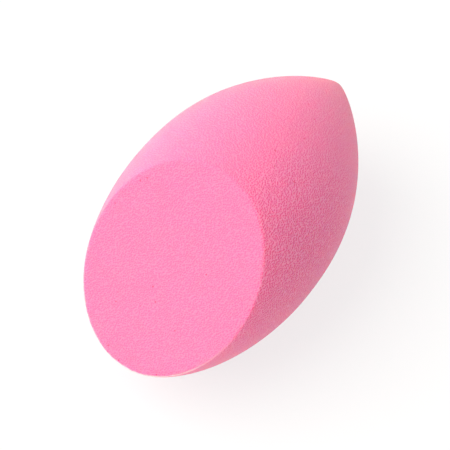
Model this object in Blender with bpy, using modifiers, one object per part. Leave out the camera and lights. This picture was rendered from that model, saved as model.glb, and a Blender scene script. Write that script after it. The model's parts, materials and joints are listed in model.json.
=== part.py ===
"""A make-up blending sponge: one block of soft pink foam, egg-shaped with a pointed nose.

The blank is a turned shape. A knife cut slants across its round end and leaves the flat face that
carries the make-up, and the belly has settled flat where the sponge lies on a table. The sponge
lies on its belly: +Y points along it towards the nose, +Z is up, the cut faces up and back, and
the origin is on the table below the middle of the sponge.
"""

from math import atan2, cos, pi, radians, sin, tan

import bmesh
import bpy
from mathutils import Vector

MM = 0.001  # the sizes below are in millimetres, and the scene is in metres

# The turned blank
BELLY_DIAMETER = 40.0
NOSE_LENGTH = 37.0  # from the tip to the widest ring
TAIL_LENGTH = 32.1  # from the widest ring to the round end that the knife takes off
TIP_RADIUS = 2.4
NOSE_SWELL = 2.33  # how long the nose stays wide: 2 is an ellipse, and more is fuller
NOSE_TAPER = 0.895  # how it closes at the tip: 0.5 is a round end, and 1 is a straight-sided point
TAIL_SWELL = 1.9  # 2 is an ellipse, and less is leaner

# The knife cut
CUT_DISTANCE = 58.9  # from the tip to the cut, along the axis
CUT_TILT = 48.6  # degrees away from a cut square across the axis

# The belly where it rests
SETTLING = 0.5  # how deep its own weight and handling have pressed it flat

# Facets
STEPS_AROUND = 96
STEPS_ALONG_NOSE = 24
STEPS_ALONG_TAIL = 20
STEPS_OVER_TIP = 4

FOAM_PINK = (0.982, 0.300, 0.527, 1.0)
FOAM_ROUGHNESS = 0.95

BELLY_RADIUS = BELLY_DIAMETER / 2
CORE_RADIUS = BELLY_RADIUS - TIP_RADIUS
WELD = 0.01  # closes the poles of the turned blank, well under the smallest facet


def core_point(reach, swell, taper, turn):
    """A point of the sharp core inside one end, and how far its surface leans towards that end.

    The turn runs from 0 at the widest ring to a quarter turn at the end. The point is (radius,
    distance from the ring), and the lean grows from 0 at the ring.
    """
    core_reach = reach - TIP_RADIUS
    radius = CORE_RADIUS * cos(turn) ** (2 * taper)
    distance = core_reach * sin(turn) ** (2 / swell)
    fall = CORE_RADIUS * 2 * taper * cos(turn) ** (2 * taper - 1) * sin(turn)
    advance = core_reach * 2 / swell * sin(turn) ** (2 / swell - 1) * cos(turn)
    return radius, distance, atan2(fall, advance)


def rolled(radius, distance, lean):
    """The surface point that a ball of the tip's radius gives, rolled round the core."""
    return radius + TIP_RADIUS * cos(lean), distance + TIP_RADIUS * sin(lean)


def end_outline(reach, swell, taper, steps):
    """The rolled outline of one end, from the ring's next point to the middle of its tip."""
    quarter = pi / 2
    core = [core_point(reach, swell, taper, quarter * i / steps) for i in range(1, steps)]
    last_lean = core[-1][2]
    tip_step = (quarter - last_lean) / STEPS_OVER_TIP
    core += [(0.0, reach - TIP_RADIUS, last_lean + tip_step * i) for i in range(1, STEPS_OVER_TIP)]
    return [rolled(*point) for point in core] + [(0.0, reach)]


def blank_outline():
    """The blank's side as (radius, height above the widest ring), from the tip to the round end."""
    nose = end_outline(NOSE_LENGTH, NOSE_SWELL, NOSE_TAPER, STEPS_ALONG_NOSE)
    tail = end_outline(TAIL_LENGTH, TAIL_SWELL, 1 / TAIL_SWELL, STEPS_ALONG_TAIL)
    return nose[::-1] + [(BELLY_RADIUS, 0.0)] + [(radius, -distance) for radius, distance in tail]


def lip_height():
    """The height of the lowest point of the cut's rim, where the sponge ends, on the same scale."""

    def beyond(point):
        radius, height = point
        return NOSE_LENGTH - height - CUT_DISTANCE - radius * tan(radians(CUT_TILT))

    side = blank_outline()
    for above, below in zip(side, side[1:]):
        if beyond(above) < 0 <= beyond(below):
            share = beyond(above) / (beyond(above) - beyond(below))
            return above[1] + (below[1] - above[1]) * share
    return side[-1][1]


def collection(name):
    made = bpy.data.collections.new(name)
    bpy.context.scene.collection.children.link(made)
    return made


def foam():
    """Dry, fine-celled polyurethane foam, dyed through: matt, with no gloss of its own."""
    material = bpy.data.materials.new("pink_polyurethane_foam")
    material.use_nodes = True
    shader = material.node_tree.nodes["Principled BSDF"]
    shader.inputs["Base Color"].default_value = FOAM_PINK
    shader.inputs["Roughness"].default_value = FOAM_ROUGHNESS
    shader.inputs["Metallic"].default_value = 0.0
    return material


def turned_blank(name, holder):
    """The uncut egg about its own Z axis, with the tip up and the widest ring at its origin."""
    outline = [(radius * MM, 0.0, height * MM) for radius, height in blank_outline()]
    edges = [(i, i + 1) for i in range(len(outline) - 1)]
    mesh = bpy.data.meshes.new(name)
    mesh.from_pydata(outline, edges, [])
    blank = bpy.data.objects.new(name, mesh)
    holder.objects.link(blank)
    turning = blank.modifiers.new("turning", "SCREW")
    turning.axis = "Z"
    turning.steps = turning.render_steps = STEPS_AROUND
    turning.use_merge_vertices = True
    turning.merge_threshold = WELD * MM
    turning.use_smooth_shade = True
    return blank


def cutting_block(name, holder):
    """A block that takes away all that lies above its own origin, out past the whole blank."""
    width = 2 * (NOSE_LENGTH + TAIL_LENGTH + BELLY_DIAMETER) * MM
    mesh = bpy.data.meshes.new(name)
    block = bmesh.new()
    bmesh.ops.create_cube(block, size=width)
    bmesh.ops.translate(block, vec=Vector((0, 0, width / 2)), verts=block.verts)
    block.to_mesh(mesh)
    block.free()
    cutter = bpy.data.objects.new(name, mesh)
    cutter.display_type = "WIRE"
    cutter.hide_render = True
    holder.objects.link(cutter)
    return cutter


def cut_away(piece, cutter):
    cut = piece.modifiers.new(cutter.name, "BOOLEAN")
    cut.operation = "DIFFERENCE"
    cut.solver = "EXACT"
    cut.object = cutter


def main():
    for old in list(bpy.data.objects):
        bpy.data.objects.remove(old)
    sponge_parts = collection("blending_sponge")
    cutters = collection("cutters")

    # The axis frame lies along the sponge, with its own Z to the nose and its own Y down
    length = NOSE_LENGTH - lip_height()
    axis = bpy.data.objects.new("sponge_axis", None)
    axis.location = Vector((0, length / 2 - NOSE_LENGTH, BELLY_RADIUS - SETTLING)) * MM
    axis.rotation_euler = (-pi / 2, 0, 0)
    sponge_parts.objects.link(axis)

    sponge = turned_blank("sponge_body", sponge_parts)
    sponge.parent = axis
    sponge.data.materials.append(foam())

    # The knife's block starts at the cut and faces the tail, tilted up away from the belly
    knife = cutting_block("knife_cut", cutters)
    knife.parent = axis
    knife.location = (0, 0, (NOSE_LENGTH - CUT_DISTANCE) * MM)
    knife.rotation_euler = (pi - radians(CUT_TILT), 0, 0)
    cut_away(sponge, knife)

    table = cutting_block("table_top", cutters)
    table.rotation_euler = (pi, 0, 0)
    cut_away(sponge, table)


main()
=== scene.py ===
"""The looks of a make-up blending sponge: its foam, and a plain studio stage.

The sponge lies on its belly: +Y points along it towards the nose, +Z is up and the slanted cut
faces up and back. Lengths are in metres, and MM is one millimetre.
"""

import json
import math

import bmesh
import bpy
import numpy as np
from bpy.props import FloatProperty, FloatVectorProperty, IntProperty, PointerProperty
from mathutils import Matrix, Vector


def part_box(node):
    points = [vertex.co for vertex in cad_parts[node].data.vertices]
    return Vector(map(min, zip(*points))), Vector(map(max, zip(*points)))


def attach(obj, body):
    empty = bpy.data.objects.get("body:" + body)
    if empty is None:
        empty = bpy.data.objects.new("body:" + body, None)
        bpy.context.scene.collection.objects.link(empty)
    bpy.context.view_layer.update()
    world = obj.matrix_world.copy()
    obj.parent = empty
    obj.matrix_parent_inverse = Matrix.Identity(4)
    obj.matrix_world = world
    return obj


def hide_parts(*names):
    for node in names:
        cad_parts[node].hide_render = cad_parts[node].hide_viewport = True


bl_info = {
    "name": "Blending Sponge",
    "version": (1, 0, 0),
    "blender": (4, 5, 0),
    "location": "View3D > Sidebar > Sponge",
    "description": "Builds a slanted make-up sponge of fine-celled foam and a studio stage",
    "category": "Add Mesh",
}

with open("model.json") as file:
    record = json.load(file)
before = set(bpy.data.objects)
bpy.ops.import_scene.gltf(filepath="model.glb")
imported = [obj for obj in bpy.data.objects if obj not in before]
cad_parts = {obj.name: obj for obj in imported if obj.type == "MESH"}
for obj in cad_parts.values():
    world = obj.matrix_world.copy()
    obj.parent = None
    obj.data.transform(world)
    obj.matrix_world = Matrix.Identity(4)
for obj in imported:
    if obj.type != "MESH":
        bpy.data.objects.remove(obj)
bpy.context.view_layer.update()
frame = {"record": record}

SPONGE_NODE = "sponge_body"
BODY = "root"
MM = 0.001

# The camera's sensor in millimetres, and the photograph's width and scale in pixels
SENSOR_MM = 36.0
PHOTO_PIXELS = 450
PIXELS_PER_MM = 5.5158

MATHS = "ShaderNodeMath"
VECTOR_MATHS = "ShaderNodeVectorMath"
MAP_RANGE = "ShaderNodeMapRange"

CUT_MOUNT = next(mount for mount in frame["record"]["mounts"] if mount["name"] == "cut_face")
CUT_PLACE = Vector(CUT_MOUNT["pos_m"])
CUT_NORMAL = Vector(CUT_MOUNT["axis"]).normalized()
SPONGE_LOW, SPONGE_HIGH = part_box(SPONGE_NODE)


def linear(hex_colour):
    """An sRGB hex colour as the linear values that Blender's sockets take, by sRGB's own curve."""
    channels = [int(hex_colour[start : start + 2], 16) / 255 for start in (1, 3, 5)]
    return tuple(c / 12.92 if c <= 0.04045 else ((c + 0.055) / 1.055) ** 2.4 for c in channels)


WHITE = (*linear("#FFFFFF"), 1.0)


def add(tree, kind, *inputs, **settings):
    """Adds a node, gives its settings and inputs, and returns its first output in use.

    Inputs come in the order of the node's sockets, or by name in a dictionary. A socket is set to
    a value or linked to an output, and a list links one socket to several outputs.
    """
    node = tree.nodes.new(kind)
    for name, value in settings.items():
        setattr(node, name, value)
    in_use = [socket for socket in node.inputs if socket.enabled]
    by_name = {socket.name: socket for socket in in_use}
    for position, given in enumerate(inputs):
        pairs = given.items() if isinstance(given, dict) else [(None, given)]
        for key, value in pairs:
            socket = by_name[key] if key else in_use[position]
            for source in value if isinstance(value, list) else [value]:
                if isinstance(source, bpy.types.NodeSocket):
                    tree.links.new(source, socket)
                else:
                    socket.default_value = source
    return next((socket for socket in node.outputs if socket.enabled), None)


def emptied_tree(owner):
    """The node tree of a new material or world, without the nodes that it starts with."""
    owner.use_nodes = True
    owner.node_tree.nodes.clear()
    return owner.node_tree


# Sizes and colours that a user would change


class SpongeShape(bpy.types.PropertyGroup):
    """The turned and cut block of foam."""

    belly_diameter: FloatProperty(
        name="Belly diameter",
        description="Across the widest ring",
        default=SPONGE_HIGH.x - SPONGE_LOW.x,
        min=0.01,
        unit="LENGTH",
    )
    nose_length: FloatProperty(
        name="Nose length",
        description="From the tip to the widest ring",
        default=37.0 * MM,
        min=0.005,
        unit="LENGTH",
    )
    tail_length: FloatProperty(
        name="Tail length",
        description="From the widest ring to the round end that the knife takes off",
        default=32.1 * MM,
        min=0.005,
        unit="LENGTH",
    )
    tip_radius: FloatProperty(
        name="Tip radius",
        description="Radius of the round tip",
        default=2.4 * MM,
        min=0.0005,
        unit="LENGTH",
    )
    nose_swell: FloatProperty(
        name="Nose swell",
        description="How long the nose stays wide: 2 is an ellipse, and more is fuller",
        default=2.33,
        min=1.2,
        max=4.0,
    )
    nose_taper: FloatProperty(
        name="Nose taper",
        description="How the nose closes at the tip: 0.5 is a round end, and 1 is a straight point",
        default=0.895,
        min=0.5,
        max=1.2,
    )
    tail_swell: FloatProperty(
        name="Tail swell",
        description="Shape of the round end: 2 is an ellipse, and less is leaner",
        default=1.9,
        min=1.2,
        max=4.0,
    )
    settling: FloatProperty(
        name="Settling",
        description="How deep the belly has pressed itself flat where it rests",
        default=0.5 * MM,
        min=0.0,
        unit="LENGTH",
    )
    edge_softening: IntProperty(
        name="Edge softening",
        description="Rounds of smoothing that take the sharpness off the knife-cut edge",
        default=3,
        min=0,
        max=20,
    )


class FoamSkin(bpy.types.PropertyGroup):
    """The open cells in the foam's surface, and its colours."""

    mesh_fineness: FloatProperty(
        name="Mesh fineness",
        description="Spacing of the surface's points",
        default=0.2 * MM,
        min=0.05 * MM,
        unit="LENGTH",
    )
    cell_pitch: FloatProperty(
        name="Cell pitch",
        description="Distance between neighbouring open cells",
        default=0.31 * MM,
        min=0.1 * MM,
        unit="LENGTH",
    )
    # Painted shade: how much of a wall's pale and deep sides follows the key light's direction
    painted_relief_shade: FloatProperty(
        name="Combing",
        description="How far grinding has combed the torn cell walls over to one side",
        default=0.6,
        min=0.0,
        max=1.0,
        subtype="FACTOR",
    )
    # Painted shade: how far towards the key light the colour looks for a wall's lit and shaded
    # sides
    painted_shade_reach: FloatProperty(
        name="Comb reach",
        description="Distance from the pale side of a combed wall to its deep side",
        default=0.14 * MM,
        min=0.0,
        unit="LENGTH",
    )
    nap_pitch: FloatProperty(
        name="Nap pitch",
        description="Spacing of the grid on which the torn cell walls rise and fall",
        default=0.36 * MM,
        min=0.1 * MM,
        unit="LENGTH",
    )
    nap_height: FloatProperty(
        name="Nap height",
        description="Rise of the torn cell walls where the cells are open as usual",
        default=0.1 * MM,
        min=0.0,
        unit="LENGTH",
    )
    pore_pitch: FloatProperty(
        name="Pore pitch",
        description="Distance between the larger pores inside the foam",
        default=2.8 * MM,
        min=0.5 * MM,
        unit="LENGTH",
    )
    pore_radius: FloatProperty(
        name="Pore radius",
        description="Radius of the larger pores",
        default=0.22 * MM,
        min=0.05 * MM,
        unit="LENGTH",
    )
    foam_colour: FloatVectorProperty(
        name="Foam colour",
        description="Dry foam, dyed through",
        subtype="COLOR",
        size=3,
        min=0.0,
        max=1.0,
        default=linear("#FC9AC0"),
    )
    cell_colour: FloatVectorProperty(
        name="Cell colour",
        description="Inside the open cells, where light that bounces deepens the pink",
        subtype="COLOR",
        size=3,
        min=0.0,
        max=1.0,
        default=linear("#F36196"),
    )
    # Painted highlight: the pale line along the knife-cut edge of the cut's lower lip
    lip_highlight_colour: FloatVectorProperty(
        name="Frayed colour",
        description="Frayed foam along the lower lip of the cut",
        subtype="COLOR",
        size=3,
        min=0.0,
        max=1.0,
        default=linear("#FFD0D4"),
    )


class StageLook(bpy.types.PropertyGroup):
    """The camera, the floor and the lights."""

    azimuth: FloatProperty(
        name="Azimuth",
        description="Camera turned round the sponge from straight behind the cut",
        default=math.radians(36.29),
        subtype="ANGLE",
    )
    elevation: FloatProperty(
        name="Elevation",
        description="Camera above the horizon",
        default=math.radians(62.62),
        subtype="ANGLE",
    )
    distance: FloatProperty(
        name="Distance",
        description="From the camera to the middle of the view",
        default=0.45,
        min=0.1,
        unit="LENGTH",
    )
    view_width: FloatProperty(
        name="View width",
        description="Width that the picture shows at the middle of the view",
        default=PHOTO_PIXELS / PIXELS_PER_MM * MM,
        min=0.01,
        unit="LENGTH",
    )
    floor_white: FloatProperty(
        name="Floor white",
        description="Share of the floor's brightness that the camera sees whatever the shadow",
        default=0.75,
        min=0.0,
        max=1.0,
        subtype="FACTOR",
    )
    sky: FloatProperty(
        name="Sky",
        description="Strength of the even white light from all round",
        default=0.54,
        min=0.0,
    )
    key: FloatProperty(
        name="Key",
        description="Brightness that the softbox gives a white surface that faces it",
        default=1.0,
        min=0.0,
    )
    key_colour: FloatVectorProperty(
        name="Key colour",
        description="Colour of the softbox, a little warmer than the white all round",
        subtype="COLOR",
        size=3,
        min=0.0,
        max=1.0,
        default=linear("#FFFDF7"),
    )
    key_azimuth: FloatProperty(
        name="Key azimuth",
        description="Direction of the softbox, from +X towards +Y",
        default=math.radians(214),
        subtype="ANGLE",
    )
    key_elevation: FloatProperty(
        name="Key elevation",
        description="Softbox above the horizon",
        default=math.radians(51),
        subtype="ANGLE",
    )
    key_width: FloatProperty(
        name="Key width",
        description="Angle that the softbox fills, seen from the sponge",
        default=math.radians(60),
        subtype="ANGLE",
    )


# The foam block: a Geometry Nodes shape, an even skin of fine faces, and the open cells


def tree_with_inputs(name, inputs):
    """A Geometry Nodes tree with named inputs, and the outputs that its nodes read them from."""
    tree = bpy.data.node_groups.new(name, "GeometryNodeTree")
    tree.interface.new_socket("Geometry", in_out="INPUT", socket_type="NodeSocketGeometry")
    for label, kind in inputs.items():
        tree.interface.new_socket(label, in_out="INPUT", socket_type=kind)
    tree.interface.new_socket("Geometry", in_out="OUTPUT", socket_type="NodeSocketGeometry")
    return tree, tree.nodes.new("NodeGroupInput").outputs


def finish_tree(tree, geometry, material):
    """Ends a tree in Realize Instances and Set Material."""
    whole = add(tree, "GeometryNodeRealizeInstances", geometry)
    painted = add(tree, "GeometryNodeSetMaterial", {"Geometry": whole, "Material": material})
    add(tree, "NodeGroupOutput", painted)


def run_tree(piece, tree, values):
    """Puts the tree on the piece and sets its named inputs by their sockets' identifiers."""
    modifier = piece.modifiers.new(tree.name, "NODES")
    modifier.node_group = tree
    for socket in tree.interface.items_tree:
        if socket.in_out == "INPUT" and socket.name in values:
            modifier[socket.identifier] = values[socket.name]


def outline_nodes(tree, given, turn, on_nose):
    """The turned outline where the turn runs from 0 at the widest ring to a quarter turn at an end.

    A sharp core is drawn first and a ball of the tip's radius is rolled round it, so that the
    core's point becomes a round tip. Returns the radius and the distance from the widest ring.
    """
    tip = given["Tip Radius"]

    # A superellipse has 2 over its swell as both exponents. The round end is one, and the nose
    # closes by twice its taper instead.
    tail_taper = add(tree, MATHS, 1.0, given["Tail Swell"], operation="DIVIDE")
    swells = (given["Tail Swell"], given["Nose Swell"])
    tapers = (tail_taper, given["Nose Taper"])
    reaches = (given["Tail Length"], given["Nose Length"])
    swell, taper, reach = (
        add(tree, "GeometryNodeSwitch", on_nose, *pair, input_type="FLOAT")
        for pair in (swells, tapers, reaches)
    )
    core_radius = add(tree, MATHS, given["Belly Radius"], tip, operation="SUBTRACT")
    core_reach = add(tree, MATHS, reach, tip, operation="SUBTRACT")
    closing = add(tree, MATHS, taper, 2.0, operation="MULTIPLY")
    reaching = add(tree, MATHS, 2.0, swell, operation="DIVIDE")
    sine = add(tree, MATHS, turn, operation="SINE")
    cosine = add(tree, MATHS, turn, operation="COSINE")

    # radius = core radius * cos(turn) ** closing, and distance = core reach * sin(turn) ** reaching
    narrowed = add(tree, MATHS, cosine, closing, operation="POWER")
    radius = add(tree, MATHS, core_radius, narrowed, operation="MULTIPLY")
    advanced = add(tree, MATHS, sine, reaching, operation="POWER")
    distance = add(tree, MATHS, core_reach, advanced, operation="MULTIPLY")

    # Both change with the turn, and the ratio of the changes is the lean of the surface
    closing_left = add(tree, MATHS, closing, 1.0, operation="SUBTRACT")
    narrowing = add(tree, MATHS, cosine, closing_left, operation="POWER")
    narrowing = add(tree, MATHS, narrowing, sine, operation="MULTIPLY")
    steepness = add(tree, MATHS, core_radius, closing, operation="MULTIPLY")
    fall = add(tree, MATHS, steepness, narrowing, operation="MULTIPLY")
    reaching_left = add(tree, MATHS, reaching, 1.0, operation="SUBTRACT")
    advancing = add(tree, MATHS, sine, reaching_left, operation="POWER")
    advancing = add(tree, MATHS, advancing, cosine, operation="MULTIPLY")
    stride = add(tree, MATHS, core_reach, reaching, operation="MULTIPLY")
    advance = add(tree, MATHS, stride, advancing, operation="MULTIPLY")
    lean = add(tree, MATHS, fall, advance, operation="ARCTAN2")

    # A known fault: a quarter turn's cosine comes out just below zero, which turns the lean round
    # at the tip's own point and leaves a pit there, about a millimetre wide and nearly as deep.
    outwards = add(tree, MATHS, lean, operation="COSINE")
    onwards = add(tree, MATHS, lean, operation="SINE")
    rolled_radius = add(tree, MATHS, tip, outwards, radius, operation="MULTIPLY_ADD")
    rolled_distance = add(tree, MATHS, tip, onwards, distance, operation="MULTIPLY_ADD")
    return rolled_radius, rolled_distance


def block_tree():
    """The turned blank laid on its belly, less what the knife and the table take away."""
    tree, given = tree_with_inputs(
        "turned_and_cut_block",
        {
            "Belly Radius": "NodeSocketFloat",
            "Nose Length": "NodeSocketFloat",
            "Tail Length": "NodeSocketFloat",
            "Tip Radius": "NodeSocketFloat",
            "Nose Swell": "NodeSocketFloat",
            "Nose Taper": "NodeSocketFloat",
            "Tail Swell": "NodeSocketFloat",
            "Belly Centre": "NodeSocketVector",
            "Cut Place": "NodeSocketVector",
            "Cut Turn": "NodeSocketRotation",
            "Foam": "NodeSocketMaterial",
        },
    )
    segments = 192
    rings = 120
    sphere = add(tree, "GeometryNodeMeshUVSphere", segments, rings)
    place = add(tree, "GeometryNodeInputPosition")
    height = add(tree, "ShaderNodeSeparateXYZ", place).node.outputs["Z"]

    # The latitude is eased, so that the rings gather at the tip, where the outline curves most
    above = add(tree, MATHS, height, operation="ABSOLUTE")
    latitude = add(tree, MATHS, above, operation="ARCSINE")
    share = add(tree, MATHS, latitude, math.pi / 2, operation="DIVIDE")
    left = add(tree, MATHS, 1.0, share, operation="SUBTRACT")
    left_squared = add(tree, MATHS, left, left, operation="MULTIPLY")
    eased = add(tree, MATHS, 1.0, left_squared, operation="SUBTRACT")
    turn = add(tree, MATHS, eased, math.pi / 2, operation="MULTIPLY")
    on_nose = add(tree, "FunctionNodeCompare", height, 0.0, operation="GREATER_THAN")
    radius, distance = outline_nodes(tree, given, turn, on_nose)

    no_height = (1.0, 1.0, 0.0)
    level = add(tree, VECTOR_MATHS, place, no_height, operation="MULTIPLY")
    outward = add(tree, VECTOR_MATHS, level, operation="NORMALIZE")
    ring = add(tree, VECTOR_MATHS, outward, {"Scale": radius}, operation="SCALE")
    side = add(tree, MATHS, height, operation="SIGN")
    rise = add(tree, MATHS, distance, side, operation="MULTIPLY")
    rise = add(tree, "ShaderNodeCombineXYZ", {"Z": rise})
    turned = add(tree, VECTOR_MATHS, ring, rise, operation="ADD")
    blank = add(tree, "GeometryNodeSetPosition", {"Geometry": sphere, "Position": turned})
    on_its_belly = (-math.pi / 2, 0, 0)
    blank = add(tree, "GeometryNodeTransform", blank, given["Belly Centre"], on_its_belly)

    # Each cutting block takes away all that lies above its own origin
    width = 0.4
    upside_down = (math.pi, 0, 0)
    cube = add(tree, "GeometryNodeMeshCube", (width, width, width))
    block = add(tree, "GeometryNodeTransform", cube, (0, 0, width / 2))
    knife = add(tree, "GeometryNodeTransform", block, given["Cut Place"], given["Cut Turn"])
    table = add(tree, "GeometryNodeTransform", block, {"Rotation": upside_down})
    cut = add(
        tree,
        "GeometryNodeMeshBoolean",
        blank,
        [knife, table],
        operation="DIFFERENCE",
        solver="EXACT",
    )
    finish_tree(tree, cut, given["Foam"])
    return tree


def skin_tree():
    """Softens the cut's edge in an even mesh; marks the rim, the cut and the light's way for
    painted shade.
    """
    tree, given = tree_with_inputs(
        "softened_edge_and_marks",
        {
            "Edge Softening": "NodeSocketInt",
            "Cut Place": "NodeSocketVector",
            "Cut Normal": "NodeSocketVector",
            "Foam": "NodeSocketMaterial",
        },
    )
    place = add(tree, "GeometryNodeInputPosition")
    softened = add(
        tree,
        "GeometryNodeBlurAttribute",
        place,
        {"Iterations": given["Edge Softening"]},
        data_type="FLOAT_VECTOR",
    )

    # 1 along the knife-cut edge, where the softening moves the surface most
    little = 0.02 * MM
    most = 0.05 * MM
    moved = add(tree, VECTOR_MATHS, place, softened, operation="SUBTRACT")
    outward = add(tree, "GeometryNodeInputNormal")
    sunk = add(tree, VECTOR_MATHS, moved, outward, operation="DOT_PRODUCT")
    rim = add(tree, MAP_RANGE, sunk, little, most)
    marked = add(
        tree,
        "GeometryNodeStoreNamedAttribute",
        {"Geometry": given["Geometry"], "Name": "rim", "Value": rim},
        data_type="FLOAT",
    )
    smooth = add(tree, "GeometryNodeSetPosition", marked, {"Position": softened})

    # The key light's way along the surface, towards the picture's upper left, for painted shade on
    # walls
    key_light_direction = (-0.52, -0.35, 0.78)
    # The painted shade fades where the light falls straight on, as this way along the surface
    # shortens
    lift = add(tree, VECTOR_MATHS, outward, key_light_direction, operation="DOT_PRODUCT")
    lifted = add(tree, VECTOR_MATHS, outward, {"Scale": lift}, operation="SCALE")
    comb = add(tree, VECTOR_MATHS, key_light_direction, lifted, operation="SUBTRACT")

    # 0 on the ground skin and 1 on the knife cut
    fade = 0.25 * MM
    apart = add(tree, VECTOR_MATHS, place, given["Cut Place"], operation="SUBTRACT")
    height = add(tree, VECTOR_MATHS, apart, given["Cut Normal"], operation="DOT_PRODUCT")
    on_cut = add(tree, MAP_RANGE, height, -fade, 0.0)

    for name, value, kind in (("comb", comb, "FLOAT_VECTOR"), ("on_cut", on_cut, "FLOAT")):
        smooth = add(
            tree,
            "GeometryNodeStoreNamedAttribute",
            {"Geometry": smooth, "Name": name, "Value": value},
            data_type=kind,
        )
    finish_tree(tree, smooth, given["Foam"])
    return tree


def foam_material(skin):
    """Dry, fine-celled polyurethane foam, dyed through, ground to shape and sliced.

    Its thin cell walls pass light on to their neighbours, so shadows fill with warm pink. The
    open cells speckle it with deeper pink, with painted shade on their walls and on the right
    flank, and their torn rims pale it at grazing angles. A painted highlight runs along the cut's
    lower lip.
    """
    material = bpy.data.materials.new("fine_celled_polyurethane_foam")
    tree = emptied_tree(material)
    place = add(tree, "ShaderNodeTexCoord").node.outputs["Object"]

    # Cut-open cells: a pale wall round a hollow, where light that bounces turns a deeper pink.
    # Real ones are 0.1 to 0.3 mm wide, and these are drawn at the coarse end, so that they show.
    # Painted light and shade: each wall is paler on its side towards the key light, deeper behind
    # it.
    # What counts as hollow or wall goes by the distance from a cell's middle, as a share of the
    # pitch.
    comb = add(tree, "ShaderNodeAttribute", attribute_name="comb").node.outputs["Vector"]
    reach = (skin.painted_shade_reach, skin.painted_shade_reach, skin.painted_shade_reach)
    towards_light = add(tree, VECTOR_MATHS, comb, reach, place, operation="MULTIPLY_ADD")
    deepest_within = 0.1
    wall_beyond = 0.8
    hollows = []
    for spot in (place, towards_light):
        cells = add(tree, "ShaderNodeTexVoronoi", {"Vector": spot, "Scale": 1 / skin.cell_pitch})
        hollows.append(add(tree, MAP_RANGE, cells, deepest_within, wall_beyond, 1.0, 0.0))
    hollow, hollow_towards_light = hollows

    # The walls are torn unevenly, which gives the skin its nap
    nap_grid = {"Vector": place, "Scale": 1 / skin.nap_pitch, "Detail": 0.0}
    nap = add(tree, "ShaderNodeTexNoise", nap_grid)

    # Here and there a bubble of the foam shows as a larger pore, with a level floor half as wide
    pores = add(tree, "ShaderNodeTexVoronoi", {"Vector": place, "Scale": 1 / skin.pore_pitch})
    pore_edge = skin.pore_radius / skin.pore_pitch
    pore_floor = pore_edge / 2
    pore = add(
        tree,
        MAP_RANGE,
        pores,
        pore_floor,
        pore_edge,
        1.0,
        0.0,
        interpolation_type="SMOOTHSTEP",
    )

    # The speckle and the nap grow strongest round the middle of the right flank, and less
    # elsewhere.
    # The darker speckle there is painted shade, for light that rakes across the flank.
    flank = (18.0 * MM, -4.0 * MM, 26.0 * MM)
    near = 7.0 * MM
    far = 22.0 * MM
    flank_openness_and_shade = 3.1
    ground_openness = 0.85
    cut_openness = 0.9
    away = add(tree, VECTOR_MATHS, place, flank, operation="DISTANCE")
    ground = add(tree, MAP_RANGE, away, near, far, flank_openness_and_shade, ground_openness)
    on_cut = add(tree, "ShaderNodeAttribute", attribute_name="on_cut").node.outputs["Fac"]
    openness_and_shade = add(tree, MAP_RANGE, on_cut, 0.0, 1.0, ground, cut_openness)

    # The painted sides and the openness with its painted flank shade work round the hollows' mean,
    # which nearly keeps the foam's mean colour
    mean_hollow = 0.42
    level = add(tree, "ShaderNodeMix", skin.painted_relief_shade, mean_hollow, hollow_towards_light, data_type="FLOAT")
    uneven = add(tree, MATHS, hollow, level, operation="SUBTRACT")
    shade = add(tree, MATHS, uneven, openness_and_shade, mean_hollow, operation="MULTIPLY_ADD")
    shade = add(tree, MATHS, shade, pore, operation="ADD", use_clamp=True)
    colour = add(
        tree,
        "ShaderNodeMix",
        shade,
        (*skin.foam_colour, 1.0),
        (*skin.cell_colour, 1.0),
        data_type="RGBA",
    )

    # A painted highlight pales the knife-cut edge along the thin lower lip of the cut
    rim = add(tree, "ShaderNodeAttribute", attribute_name="rim").node.outputs["Fac"]
    lip_highlight_starts = -20.0 * MM
    lip_highlight_full = -31.0 * MM
    along = add(tree, "ShaderNodeSeparateXYZ", place).node.outputs["Y"]
    lip = add(tree, MAP_RANGE, along, lip_highlight_starts, lip_highlight_full)
    lip_highlight = add(tree, MATHS, rim, lip, operation="MULTIPLY")
    colour = add(
        tree, "ShaderNodeMix", lip_highlight, colour, (*skin.lip_highlight_colour, 1.0), data_type="RGBA"
    )

    # The nap is higher where the cells are more open, and a pore is as deep as its radius
    height = add(tree, MATHS, openness_and_shade, skin.nap_height, operation="MULTIPLY")
    relief = add(tree, MATHS, nap, height, operation="MULTIPLY")
    relief = add(tree, MATHS, pore, -skin.pore_radius, relief, operation="MULTIPLY_ADD")
    bumps = add(tree, "ShaderNodeBump", {"Strength": 1.0, "Distance": 1.0, "Height": relief})
    foam = add(
        tree,
        "ShaderNodeBsdfPrincipled",
        {
            "Base Color": colour,
            "Normal": bumps,
            "Roughness": 0.95,
            "IOR": 1.5,
            "Specular IOR Level": 0.05,
            "Subsurface Weight": 1.0,
            "Subsurface Radius": (1.0, 0.03, 0.05),
            "Subsurface Scale": 2.0 * MM,
            "Sheen Weight": 0.3,
            "Sheen Roughness": 0.5,
            "Sheen Tint": (*linear("#FFB959"), 1.0),
        },
    )
    add(tree, "ShaderNodeOutputMaterial", foam)
    return material


def plain_mesh(piece, material):
    """Turns the piece's modifiers into a plain mesh of one material and removes them."""
    graph = bpy.context.evaluated_depsgraph_get()
    mesh = bpy.data.meshes.new_from_object(piece.evaluated_get(graph), depsgraph=graph)
    old = piece.data
    piece.modifiers.clear()
    piece.data = mesh
    mesh.name = old.name
    bpy.data.meshes.remove(old)
    if not mesh.polygons:
        raise RuntimeError(f"{piece.name} came out empty")
    # The trees' primitives leave an empty slot before the foam's
    mesh.materials.clear()
    mesh.materials.append(material)
    mesh.polygons.foreach_set("material_index", np.zeros(len(mesh.polygons), np.int32))


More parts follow.
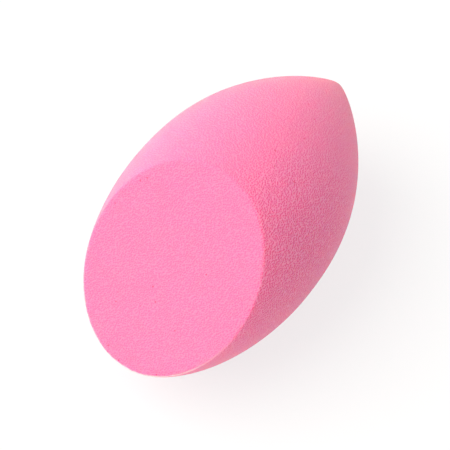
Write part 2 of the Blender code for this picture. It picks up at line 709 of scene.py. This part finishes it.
class SPONGE_OT_make_sponge(bpy.types.Operator):
    """Makes the sponge's foam block with its open cells"""

    bl_idname = "sponge.make_sponge"
    bl_label = "Make Sponge"
    bl_options = {"REGISTER", "UNDO"}

    def execute(self, context):
        shape = context.scene.sponge_shape
        skin = context.scene.foam_skin
        foam = foam_material(skin)
        mesh = bpy.data.meshes.new("sponge_foam")
        sponge = bpy.data.objects.new("sponge_foam", mesh)
        context.scene.collection.objects.link(sponge)
        belly_y = SPONGE_HIGH.y - shape.nose_length
        belly_z = shape.belly_diameter / 2 - shape.settling
        cut_turn = math.atan2(-CUT_NORMAL.y, CUT_NORMAL.z)
        run_tree(
            sponge,
            block_tree(),
            {
                "Belly Radius": shape.belly_diameter / 2,
                "Nose Length": shape.nose_length,
                "Tail Length": shape.tail_length,
                "Tip Radius": shape.tip_radius,
                "Nose Swell": shape.nose_swell,
                "Nose Taper": shape.nose_taper,
                "Tail Swell": shape.tail_swell,
                "Belly Centre": (0.0, belly_y, belly_z),
                "Cut Place": CUT_PLACE,
                "Cut Turn": (cut_turn, 0.0, 0.0),
                "Foam": foam,
            },
        )
        even = sponge.modifiers.new("even_faces", "REMESH")
        even.mode = "VOXEL"
        even.voxel_size = skin.mesh_fineness
        even.adaptivity = 0.0
        even.use_smooth_shade = True
        run_tree(
            sponge,
            skin_tree(),
            {
                "Edge Softening": shape.edge_softening,
                "Cut Place": CUT_PLACE,
                "Cut Normal": CUT_NORMAL,
                "Foam": foam,
            },
        )
        plain_mesh(sponge, foam)
        error = sponge.dimensions.x - shape.belly_diameter
        if abs(error) > skin.mesh_fineness:
            raise RuntimeError(f"{sponge.name} is {error / MM:.2f} mm off its belly diameter")
        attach(sponge, BODY)
        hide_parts(SPONGE_NODE)
        return {"FINISHED"}


# The stage: a sheet of white paper, soft light from a box and from all round, and the camera


def seen_share(tree):
    """1 for rays from the camera and those that metal or glass sends on, and 0 for light."""
    rays = add(tree, "ShaderNodeLightPath").node.outputs
    seen = add(tree, MATHS, rays["Is Camera Ray"], rays["Is Glossy Ray"], operation="MAXIMUM")
    return add(tree, MATHS, seen, rays["Is Transmission Ray"], operation="MAXIMUM")


def paper_material(look):
    """Matt white paper, laid out flat.

    It has no highlight. What the camera sees of it is lifted towards white, so that only a faint
    shadow shows round the sponge.
    """
    paper = bpy.data.materials.new("matt_white_paper")
    tree = emptied_tree(paper)
    matt = add(tree, "ShaderNodeBsdfDiffuse", (*linear("#F1F1F1"), 1.0))
    white = add(tree, "ShaderNodeEmission", WHITE, 1.0)
    share = add(tree, MATHS, seen_share(tree), look.floor_white, operation="MULTIPLY")
    both = add(tree, "ShaderNodeMixShader", share, matt, white)
    add(tree, "ShaderNodeOutputMaterial", both)
    return paper


def paper_floor(look):
    """A square of paper that reaches well past the view."""
    half_width = 3.0
    mesh = bpy.data.meshes.new("studio_floor")
    made = bmesh.new()
    bmesh.ops.create_grid(made, x_segments=1, y_segments=1, size=half_width)
    made.to_mesh(mesh)
    made.free()
    mesh.materials.append(paper_material(look))
    return bpy.data.objects.new("studio_floor", mesh)


def white_world(look):
    """Even white light from all round, which the camera itself sees as plain white."""
    world = bpy.data.worlds.new("white_studio")
    tree = emptied_tree(world)
    strength = add(tree, MAP_RANGE, seen_share(tree), 0.0, 1.0, look.sky, 1.0)
    sky = add(tree, "ShaderNodeBackground", WHITE, strength)
    add(tree, "ShaderNodeOutputWorld", sky)
    return world


def key_softbox(look):
    """The one lamp: a sun, whose strength is pi times the brightness that it gives white."""
    key = bpy.data.lights.new("key_softbox", "SUN")
    key.energy = math.pi * look.key
    key.color = look.key_colour
    key.angle = look.key_width
    lamp = bpy.data.objects.new("key_softbox", key)
    lamp.rotation_euler = (math.pi / 2 - look.key_elevation, 0, look.key_azimuth + math.pi / 2)
    return lamp


def photo_camera(look):
    """The camera, turned and placed so that the sponge lies in the picture as in the photograph."""
    azimuth = look.azimuth
    elevation = look.elevation
    right = Vector((math.cos(azimuth), math.sin(azimuth), 0))
    back = Vector(
        (
            math.sin(azimuth) * math.cos(elevation),
            -math.cos(azimuth) * math.cos(elevation),
            math.sin(elevation),
        )
    )
    up = back.cross(right)

    # The view's middle lies left of and below a point on the sponge's axis, behind its tip
    behind_tip = 30.0 * MM
    axis_height = 19.5 * MM
    left_by = 3.2682 * MM
    below_by = 4.5708 * MM
    on_axis = Vector((0, SPONGE_HIGH.y - behind_tip, axis_height))
    aim = on_axis - left_by * right - below_by * up

    nearest = 0.01
    farthest = 20.0
    data = bpy.data.cameras.new("camera")
    data.sensor_width = SENSOR_MM
    data.lens = SENSOR_MM * look.distance / look.view_width
    data.clip_start = nearest
    data.clip_end = farthest
    camera = bpy.data.objects.new("camera", data)
    camera.location = aim + look.distance * back
    camera.rotation_euler = back.to_track_quat("Z", "Y").to_euler()
    return camera


class SPONGE_OT_make_stage(bpy.types.Operator):
    """Makes the white floor, the soft lights and the camera"""

    bl_idname = "sponge.make_stage"
    bl_label = "Make Stage"
    bl_options = {"REGISTER", "UNDO"}

    def execute(self, context):
        scene = context.scene
        look = scene.stage_look
        scene.view_settings.view_transform = "Standard"
        scene.world = white_world(look)
        floor = paper_floor(look)
        camera = photo_camera(look)
        for thing in (floor, key_softbox(look), camera):
            scene.collection.objects.link(thing)
        scene.camera = camera
        return {"FINISHED"}


# The sidebar's panel, and what Blender registers


class SPONGE_PT_panel(bpy.types.Panel):
    """Lists the sizes, the colours and the two operators"""

    bl_label = "Blending Sponge"
    bl_idname = "SPONGE_PT_panel"
    bl_space_type = "VIEW_3D"
    bl_region_type = "UI"
    bl_category = "Sponge"

    def draw(self, context):
        scene = context.scene
        for group in (scene.sponge_shape, scene.foam_skin, scene.stage_look):
            box = self.layout.box()
            for name in group.bl_rna.properties.keys():
                if name not in ("name", "rna_type"):
                    box.prop(group, name)
        for maker in (SPONGE_OT_make_sponge, SPONGE_OT_make_stage):
            self.layout.operator(maker.bl_idname)


CLASSES = (
    SpongeShape,
    FoamSkin,
    StageLook,
    SPONGE_OT_make_sponge,
    SPONGE_OT_make_stage,
    SPONGE_PT_panel,
)


def register():
    for kind in CLASSES:
        bpy.utils.register_class(kind)
    bpy.types.Scene.sponge_shape = PointerProperty(type=SpongeShape)
    bpy.types.Scene.foam_skin = PointerProperty(type=FoamSkin)
    bpy.types.Scene.stage_look = PointerProperty(type=StageLook)


def unregister():
    del bpy.types.Scene.stage_look
    del bpy.types.Scene.foam_skin
    del bpy.types.Scene.sponge_shape
    for kind in reversed(CLASSES):
        bpy.utils.unregister_class(kind)


def main():
    register()
    bpy.ops.sponge.make_sponge()
    bpy.ops.sponge.make_stage()


if __name__ == "__main__":
    main()
